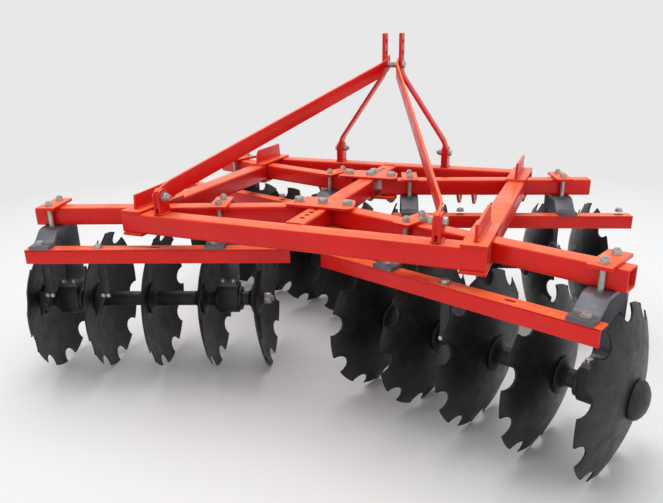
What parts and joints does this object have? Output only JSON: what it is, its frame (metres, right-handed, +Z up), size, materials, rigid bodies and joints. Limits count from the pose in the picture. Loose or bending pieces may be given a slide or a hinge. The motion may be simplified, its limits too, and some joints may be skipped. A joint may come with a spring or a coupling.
{
  "type": "mounted tandem disc harrow",
  "caption": "Three-point mounted tandem disc harrow: a red tube frame with an A-frame mast carries notched disc gangs whose angle is set by sliding centre plates.",
  "frame": {"origin": "on the floor under the middle of the machine, halfway between its left and right sides and between its front and rear", "axes": "+X to the machine's right, +Y forward to the tractor, +Z up"},
  "size_m": [2.355, 1.725, 1.309],
  "materials": {
    "frame_red": "glossy red paint",
    "gang_red": "glossy red paint",
    "disc_black": "semi-gloss black paint, dusty",
    "black_steel": "black paint",
    "dark_steel": "dark grey paint",
    "zinc": "dull zinc plate"
  },
  "bodies": {
    "frame": {"rear_crossbar": "frame_red", "front_crossbar": "frame_red", "left_side_rail": "frame_red", "right_side_rail": "frame_red", "centre_rail": "frame_red", "left_mast_bar": "frame_red", "right_mast_bar": "frame_red", "left_brace": "frame_red", "right_brace": "frame_red", "mast_cross_bolt": "zinc"},
    "rear_plates": {"rear_centre_plates": "frame_red"},
    "front_plates": {"front_centre_plates": "frame_red"},
    "rear_left_gang": {"rear_left_beam": "gang_red", "rear_left_outer_clamp": "gang_red", "rear_left_inner_clamp": "gang_red", "rear_left_outer_hanger": "dark_steel", "rear_left_inner_hanger": "dark_steel", "rear_left_scraper_bar": "gang_red"},
    "rear_left_discs": {"rear_left_axle": "black_steel", "rear_left_disc_1": "disc_black", "rear_left_disc_2": "disc_black", "rear_left_disc_3": "disc_black", "rear_left_disc_4": "disc_black", "rear_left_disc_5": "disc_black"},
    "rear_right_gang": {"rear_right_beam": "gang_red", "rear_right_outer_clamp": "gang_red", "rear_right_inner_clamp": "gang_red", "rear_right_outer_hanger": "dark_steel", "rear_right_inner_hanger": "dark_steel", "rear_right_scraper_bar": "gang_red"},
    "rear_right_discs": {"rear_right_axle": "black_steel", "rear_right_disc_1": "disc_black", "rear_right_disc_2": "disc_black", "rear_right_disc_3": "disc_black", "rear_right_disc_4": "disc_black", "rear_right_disc_5": "disc_black"},
    "front_left_gang": {"front_left_beam": "gang_red", "front_left_outer_clamp": "gang_red", "front_left_inner_clamp": "gang_red", "front_left_outer_hanger": "dark_steel", "front_left_inner_hanger": "dark_steel", "front_left_scraper_bar": "gang_red"},
    "front_left_discs": {"front_left_axle": "black_steel", "front_left_disc_1": "disc_black", "front_left_disc_2": "disc_black", "front_left_disc_3": "disc_black", "front_left_disc_4": "disc_black", "front_left_disc_5": "disc_black"},
    "front_right_gang": {"front_right_beam": "gang_red", "front_right_outer_clamp": "gang_red", "front_right_inner_clamp": "gang_red", "front_right_outer_hanger": "dark_steel", "front_right_inner_hanger": "dark_steel", "front_right_scraper_bar": "gang_red"},
    "front_right_discs": {"front_right_axle": "black_steel", "front_right_disc_1": "disc_black", "front_right_disc_2": "disc_black", "front_right_disc_3": "disc_black", "front_right_disc_4": "disc_black", "front_right_disc_5": "disc_black"}
  },
  "joints": [
    {"name": "rear_angle_set", "type": "slide", "parent": "frame", "child": "rear_plates", "axis": [0, -1, 0], "range_m": [0, 0.16]},
    {"name": "front_angle_set", "type": "slide", "parent": "frame", "child": "front_plates", "axis": [0, 1, 0], "range_m": [0, 0.16]},
    {"name": "rear_left_swing", "type": "hinge", "parent": "rear_plates", "child": "rear_left_gang", "pos_m": [-0.1, -0.2698, 0.652], "axis": [0, 0, -1], "range_deg": [0, 16.3]},
    {"name": "rear_left_spin", "type": "hinge", "parent": "rear_left_gang", "child": "rear_left_discs", "pos_m": [-0.71072, -0.46601, 0.28], "axis": [-0.9397, -0.342, 0], "continuous": true},
    {"name": "rear_right_swing", "type": "hinge", "parent": "rear_plates", "child": "rear_right_gang", "pos_m": [0.1, -0.2698, 0.652], "axis": [0, 0, 1], "range_deg": [0, 16.3]},
    {"name": "rear_right_spin", "type": "hinge", "parent": "rear_right_gang", "child": "rear_right_discs", "pos_m": [0.71072, -0.46601, 0.28], "axis": [0.9397, -0.342, 0], "continuous": true},
    {"name": "front_left_swing", "type": "hinge", "parent": "front_plates", "child": "front_left_gang", "pos_m": [-0.1, 0.2882, 0.652], "axis": [0, 0, 1], "range_deg": [0, 16.6]},
    {"name": "front_left_spin", "type": "hinge", "parent": "front_left_gang", "child": "front_left_discs", "pos_m": [-0.48807, 0.44005, 0.28], "axis": [-0.9511, 0.309, 0], "continuous": true},
    {"name": "front_right_swing", "type": "hinge", "parent": "front_plates", "child": "front_right_gang", "pos_m": [0.1, 0.2882, 0.652], "axis": [0, 0, -1], "range_deg": [0, 16.6]},
    {"name": "front_right_spin", "type": "hinge", "parent": "front_right_gang", "child": "front_right_discs", "pos_m": [0.48807, 0.44005, 0.28], "axis": [0.9511, 0.309, 0], "continuous": true}
  ],
  "couplings": [
    {"joint": "rear_left_swing", "follows": "rear_angle_set", "rad_per_m": 1.766},
    {"joint": "rear_right_swing", "follows": "rear_angle_set", "rad_per_m": 1.766},
    {"joint": "front_left_swing", "follows": "front_angle_set", "rad_per_m": 1.791},
    {"joint": "front_right_swing", "follows": "front_angle_set", "rad_per_m": 1.791}
  ]
}
